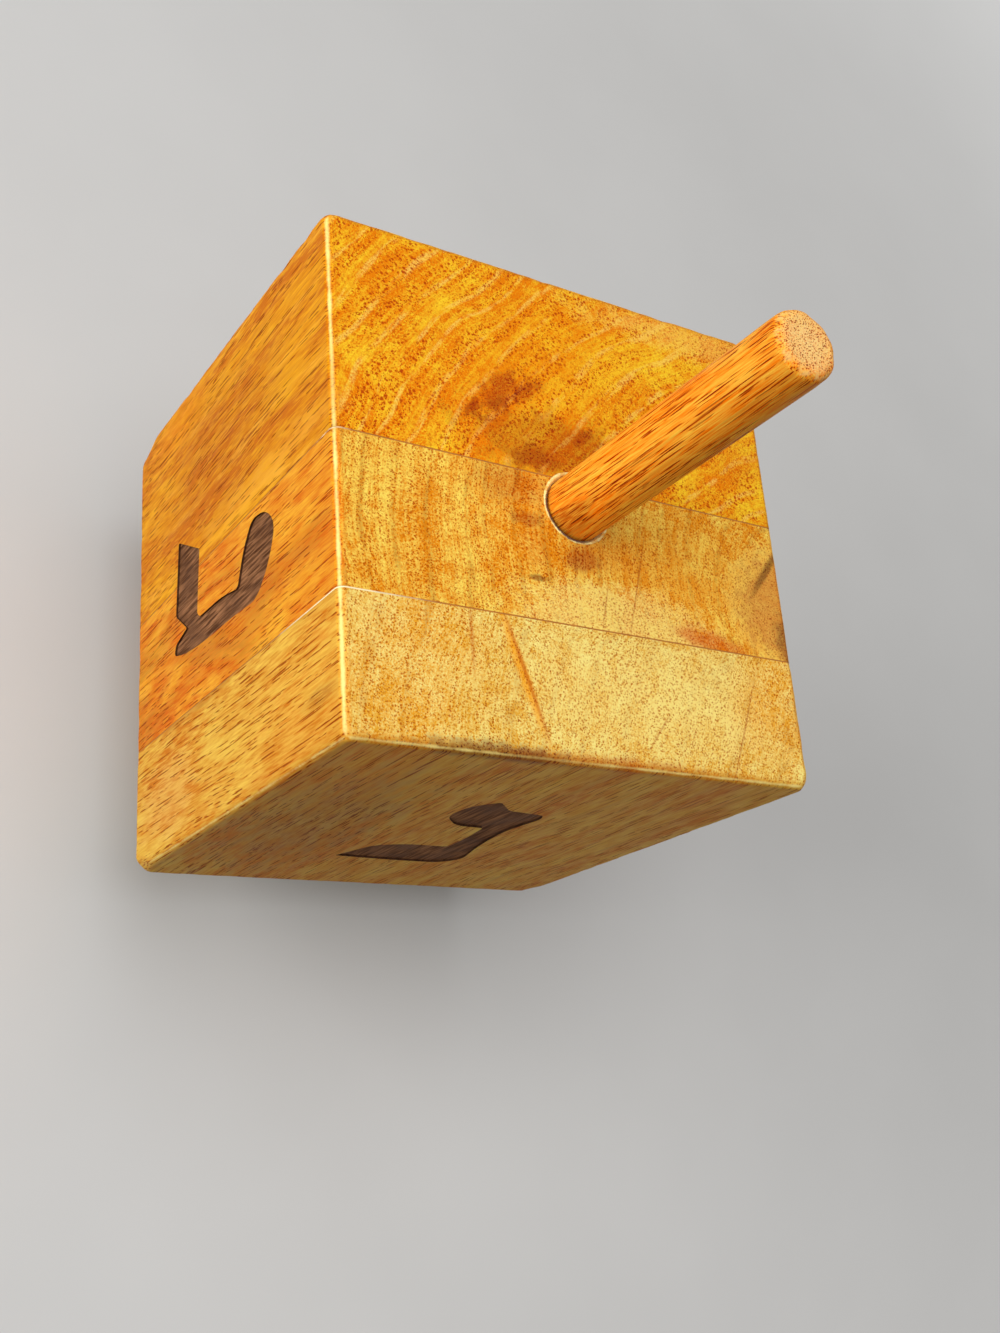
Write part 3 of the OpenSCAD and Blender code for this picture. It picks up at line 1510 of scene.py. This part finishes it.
@dataclass
class Studio:
    """A pale floor, soft light and the camera at the viewing angle, in millimetres."""

    eye: Triple = (-145.0, -115.8, 319.1)
    looks_along: Triple = (0.52150, 0.34077, -0.78225)
    picture_up: Triple = (-0.12487, 0.93740, 0.32511)
    lens: float = 37.956
    floor_half: float = 1400.0
    floor_cells: int = 8
    key_from: Triple = (-0.93, 0.04, 0.36)
    key_away: float = 1100.0
    key_size: float = 900.0
    key_watts: float = 9.8
    overhead_from: Triple = (-0.15, 0.05, 0.98)
    overhead_away: float = 1300.0
    overhead_size: float = 1000.0
    overhead_watts: float = 7.9
    sky_level: float = 0.26
    backdrop_level: float = 0.86

    def build(self) -> None:
        """Makes the floor, the lights and the camera."""
        self._floor()
        self._sky()
        self._lamp("key", self.key_from, self.key_away, self.key_size, self.key_watts)
        self._lamp(
            "overhead", self.overhead_from, self.overhead_away, self.overhead_size, self.overhead_watts
        )
        self._camera()

    def _floor(self) -> None:
        """Makes the floor."""
        mesh = bmesh.new()
        bmesh.ops.create_grid(
            mesh, x_segments=self.floor_cells, y_segments=self.floor_cells, size=self.floor_half * MM
        )
        floor = Bench.hold(mesh, "floor")
        floor.data.materials.append(FloorFinish("pale_floor").material())

    def _sky(self) -> None:
        """Makes the even light all round, with a pale background for the camera."""
        world = bpy.data.worlds.new("studio")
        bpy.context.scene.world = world
        graph = Graph(world)
        strength = self.sky_level + graph.seen() * (self.backdrop_level - self.sky_level)
        sky = graph.term("ShaderNodeBackground", {}, {"Color": (1.0, 1.0, 1.0, 1.0), "Strength": strength})
        graph.node("ShaderNodeOutputWorld", {}, {"Surface": sky})

    def _lamp(self, name: str, source: Triple, away: float, size: float, watts: float) -> None:
        """Makes a large soft lamp that faces the object.

        Args:
            name: The lamp's name.
            source: The direction that its light comes from.
            away: Its distance.
            size: Its width.
            watts: Its power.
        """
        lamp = bpy.data.lights.new(name, "AREA")
        lamp.shape = "DISK"
        lamp.size = size * MM
        lamp.energy = watts
        toward = Vector(source).normalized()
        holder = bpy.data.objects.new(name, lamp)
        holder.location = toward * (away * MM)
        holder.rotation_euler = toward.to_track_quat("Z", "Y").to_euler()
        bpy.context.scene.collection.objects.link(holder)

    def _camera(self) -> None:
        """Makes the camera."""
        forward, up = Vector(self.looks_along).normalized(), Vector(self.picture_up).normalized()
        right = forward.cross(up).normalized()
        turned = Matrix((right, right.cross(forward), -forward)).transposed().to_4x4()
        data = bpy.data.cameras.new("camera")
        data.lens = self.lens
        camera = bpy.data.objects.new("camera", data)
        camera.matrix_world = Matrix.Translation(Vector(self.eye) * MM) @ turned
        bpy.context.scene.collection.objects.link(camera)
        bpy.context.scene.camera = camera


def stain(centre: Triple, reach: Triple, tint: Colour, share: float, **shape: float) -> Mark:
    """Gives a mark that darkens the wood, as a stain in it does."""
    return Mark(centre, reach, tint, share, how=Blend.DARKEN, **shape)


def hairline(x: float, y: float, reach: Triple, turn: float, tint: Colour) -> Mark:
    """Gives a fine crack in the upper face."""
    return stain((x, y, 0.0), reach, tint, 0.8, turn=turn, ragged=0.1, even=0.6)


def board_finishes(form: BlockForm) -> dict[str, WoodFinish]:
    """Gives the wood of the three boards.

    Args:
        form: The block that they make up.

    Returns:
        The finish of each board's node.
    """
    common = {
        "wear": BlockWear(form.half, form.top, form.shoulder), "top": form.top, "half": form.half,
        "worn": paint(255, 230, 138), "pore": paint(192, 124, 58), "side_pore": paint(150, 98, 60),
    }
    red_brown, umber, olive = paint(184, 62, 50), paint(194, 124, 90), paint(226, 200, 190)
    straw, cream, amber = paint(252, 200, 92), paint(255, 228, 130), paint(248, 156, 6)
    rust = paint(196, 88, 2)
    return {
        "front_board": WoodFinish(
            name="front_board_wood", pale=paint(255, 246, 148), deep=paint(232, 166, 44), pore_floor=0.5,
            side=paint(244, 212, 146), side_deep=paint(220, 146, 40),
            rings=Rings((100.0, -72.0), 11.0, paint(170, 104, 30), 0.45, 0.25),
            thread=Streak(0.5, 7.0, 34.0, 0.28),
            marks=(
                Mark((6.0, -37.0, -2.0), (24.0, 11.0, 30.0), cream, 0.7, ragged=0.3, between=True),
                Mark((26.0, -35.0, -2.0), (14.0, 12.0, 30.0), cream, 0.6, ragged=0.4, between=True),
                Mark((44.0, -34.0, -2.0), (10.0, 14.0, 40.0), amber, 0.5, turn=-25.0),
                Mark((-38.0, -36.0, -2.0), (13.0, 16.0, 40.0), amber, 0.5),
                Mark(
                    (-15.1, -34.6, 0.0), (1.0, 11.0, 14.0),
                    paint(255, 168, 10), 0.9, turn=18.0, ragged=0.1, even=0.8,
                ),
                Mark(
                    (-14.6, -34.6, 0.0), (0.4, 10.4, 14.0),
                    rust, 0.9, turn=18.0, soft=0.7, ragged=0.1, even=0.7,
                ),
                Mark((-25.1, -29.0, 0.0), (0.4, 6.0, 10.0), rust, 0.7, soft=0.7, ragged=0.1, even=0.6),
                hairline(34.5, -40.0, (0.22, 11.0, 10.0), -22.0, umber),
                hairline(14.0, -42.0, (0.2, 4.5, 8.0), -38.0, umber),
                Mark((2.0, -49.6, 0.0), (18.0, 1.5, 2.0), paint(190, 88, 20), 0.8, even=0.5),
                Mark((-22.0, -49.6, 0.0), (13.0, 1.7, 2.2), paint(104, 52, 40), 1.0, even=0.6),
                Mark((-50.0, -40.5, -8.0), (3.0, 1.6, 5.0), paint(140, 92, 48), 0.5),
                Mark((-50.0, -39.0, -80.0), (3.0, 7.0, 13.0), paint(250, 222, 160), 0.6, between=True),
                # Painted shade on the front side: a warmer brown over the whole side, and a darker brown
                # patch on its left part, where that side is lit less.
                Mark((0.0, -51.0, -50.0), (70.0, 3.0, 70.0), paint(200, 118, 40), 0.2, even=0.7),
                Mark((-32.0, -51.0, -50.0), (13.0, 3.0, 34.0), paint(140, 72, 24), 0.6, even=0.6),
            ),
            **common,
        ),
        "middle_board": WoodFinish(
            name="middle_board_wood", pale=paint(255, 224, 96), deep=paint(232, 140, 12),
            side=paint(248, 206, 132), side_deep=paint(226, 132, 20),
            rings=Rings((56.0, -11.0), 6.0, paint(166, 94, 12), 0.5, 0.3),
            marks=(
                stain((-14.0, 2.0, 0.0), (8.0, 4.0, 30.0), olive, 1.0, even=0.8),
                Mark((7.0, -25.0, 0.0), (22.0, 10.0, 20.0), cream, 0.8, soft=0.3, ragged=0.3, between=True),
                Mark((-10.6, -9.6, 0.0), (3.4, 4.0, 10.0), paint(222, 118, 10), 0.6),
                stain((-11.6, -4.4, 0.0), (2.6, 1.7, 10.0), umber, 0.9, even=0.7),
                stain((-10.0, -15.8, 0.0), (2.2, 0.55, 6.0), paint(130, 70, 60), 0.95, even=0.7),
                stain((0.6, -10.4, 0.0), (4.0, 2.4, 8.0), umber, 1.0, turn=10.0, even=0.8),
                Mark((9.0, -8.0, 0.0), (6.0, 3.4, 8.0), paint(226, 128, 10), 0.7),
                Mark((27.0, -9.0, 0.0), (19.0, 9.0, 30.0), paint(255, 174, 50), 0.5),
                Mark(
                    (54.0, -13.0, 0.0), (19.4, 15.6, 40.0),
                    paint(255, 206, 92), 0.8, soft=0.12, ragged=0.12, even=0.5,
                ),
                Mark(
                    (54.0, -13.0, 0.0), (16.0, 12.8, 40.0),
                    paint(172, 100, 34), 0.6, soft=0.12, ragged=0.25, even=0.45,
                ),
                Mark(
                    (54.2, -13.2, 0.0), (15.0, 11.9, 40.0),
                    paint(228, 144, 60), 0.75, soft=0.15, ragged=0.3, even=0.4,
                ),
                Mark(
                    (46.4, -4.6, 0.0), (0.8, 7.0, 30.0),
                    paint(104, 58, 20), 0.9, turn=-38.0, ragged=0.2, even=0.7,
                ),
                Mark((49.0, -19.5, 0.0), (2.4, 5.0, 30.0), paint(112, 62, 30), 0.85, even=0.6),
                Mark((29.0, -22.5, 0.0), (8.0, 1.8, 12.0), paint(214, 88, 6), 0.95, turn=-8.0, even=0.6),
                hairline(12.6, -13.0, (0.2, 11.0, 10.0), -16.0, umber),
                hairline(4.4, -19.0, (0.2, 4.0, 8.0), -14.0, umber),
                Mark((-50.0, -13.0, -36.0), (3.0, 5.0, 26.0), paint(200, 104, 8), 0.5),
            ),
            **common,
        ),
        "back_board": WoodFinish(
            name="back_board_wood", pale=paint(255, 210, 42), deep=paint(236, 128, 0),
            crowd=Streak(2.2, 18.0, 60.0), pore_floor=0.3, side=paint(246, 214, 146),
            broad_pores=Pores(0.9, 14.0, 0.24, 0.9, edge=0.2),
            side_deep=paint(212, 132, 18),
            rings=Rings((95.0, -68.0), 5.4, paint(255, 210, 96), 0.8, 0.7, wander=0.5),
            marks=(
                Mark((-2.0, 30.0, 0.0), (20.0, 11.0, 40.0), amber, 0.5, turn=40.0),
                Mark((40.0, 46.0, 0.0), (30.0, 4.0, 20.0), straw, 0.6, between=True),
                stain(
                    (-4.0, 12.0, 0.0), (18.0, 6.8, 14.0),
                    paint(206, 168, 150), 1.0, turn=-4.0, soft=0.4, ragged=0.5, even=0.7,
                ),
                stain((-8.8, 8.6, 0.0), (4.6, 2.4, 8.0), umber, 1.0, turn=10.0, even=0.7),
                stain(
                    (-15.6, 20.6, 0.0), (7.4, 2.8, 8.0),
                    red_brown, 1.0, turn=36.0, soft=0.5, ragged=0.9, even=0.6,
                ),
                stain(
                    (-9.6, 22.0, 0.0), (4.4, 1.6, 8.0),
                    red_brown, 0.8, turn=40.0, soft=0.4, ragged=0.7, even=0.5,
                ),
                stain((3.0, 15.5, 0.0), (2.4, 1.0, 8.0), red_brown, 0.7, turn=42.0, ragged=0.6, even=0.6),
                Mark((44.0, 20.0, 0.0), (8.0, 5.0, 14.0), paint(208, 92, 0), 0.5, turn=25.0),
                Mark((-50.0, 27.0, -48.0), (4.0, 13.0, 26.0), paint(186, 108, 10), 0.5, ragged=0.8),
                Mark((-50.0, 10.6, -24.0), (3.4, 2.6, 30.0), straw, 0.75),
                Mark((-50.0, 8.0, -50.0), (3.4, 1.2, 14.0), paint(255, 206, 40), 0.8),
                Mark((-50.0, 44.0, -74.0), (4.0, 4.5, 13.0), paint(255, 176, 16), 0.6),
            ),
            **common,
        ),
    }


def seam_finishes(top: float) -> dict[str, SeamFinish]:
    """Gives the glue of the two seams.

    Args:
        top: Height of the upper face.

    Returns:
        The finish of each glue line's node.
    """
    return {
        "front_glue_line": SeamFinish("front_seam_glue", top, -30.0, -46.0, 30.0, 8.0),
        "back_glue_line": SeamFinish("back_seam_glue", top, -44.0, -56.0, 8.0, 0.0),
    }


def handle_finish(dowel: Handle, half: float) -> WoodFinish:
    """Gives the wood of the handle.

    Args:
        dowel: The handle.
        half: Half of the block's width, which the handle lies well inside.

    Returns:
        The finish.
    """
    white, pore = paint(255, 255, 255), paint(150, 84, 50)
    pale_end = Mark(
        (0.0, 0.0, 62.5), (9.0, 9.0, 1.4), paint(255, 224, 150), 0.95, soft=0.3, ragged=0.1, between=True
    )
    dark_foot = Mark((-4.6, -4.6, 4.0), (2.8, 2.8, 6.0), paint(132, 40, 0), 0.8)
    fine_breaks = Streak(0.4, 0.4, 5.0, detail=1.0, low=0.40, high=0.48)
    broad_breaks = Streak(0.5, 0.5, 4.0, detail=1.0, low=0.40, high=0.50)
    return WoodFinish(
        name="handle_wood", pale=paint(255, 206, 72), deep=paint(248, 122, 0), pore=pore,
        worn=paint(248, 196, 116), side=white, side_deep=white, side_pore=pore, half=half,
        rings=Rings((-60.0, 24.0), 2.6, paint(150, 70, 6), 0.3, 0.2),
        wear=DowelWear(dowel.radius, dowel.top + dowel.length), top=dowel.top, sway=1.0,
        mottle=Streak(2.4, 2.4, 9.0, 0.12, 3.0), fleck=Streak(0.2, 0.2, 6.0, 0.5),
        thread=Streak(0.45, 6.0, 16.0, 0.2), patch=Streak(4.0, 4.0, 20.0, 0.15),
        crowd=Streak(1.6, 1.6, 8.0), pore_floor=0.55,
        fine_pores=Pores(0.36, 18.0, 0.30, 1.0, breaks=fine_breaks),
        broad_pores=Pores(0.6, 18.0, 0.16, 1.0, breaks=broad_breaks),
        marks=(pale_end, dark_foot),
    )


def main() -> None:
    """Builds the scene piece by piece."""
    logging.basicConfig(level=logging.INFO, format="%(name)s: %(message)s")
    _, far_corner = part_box("front_board")
    half, top = far_corner[0] * PER_METRE, far_corner[2] * PER_METRE
    form = BlockForm(half, top)
    Block(form).build(board_finishes(form), seam_finishes(top))
    dowel = Handle(top)
    dowel.build(handle_finish(dowel, half))
    HandleGlue(top).build(RingFinish("ring_glue"))
    Studio().build()
    bpy.context.scene.view_settings.view_transform = "Standard"


if __name__ == "__main__":
    main()
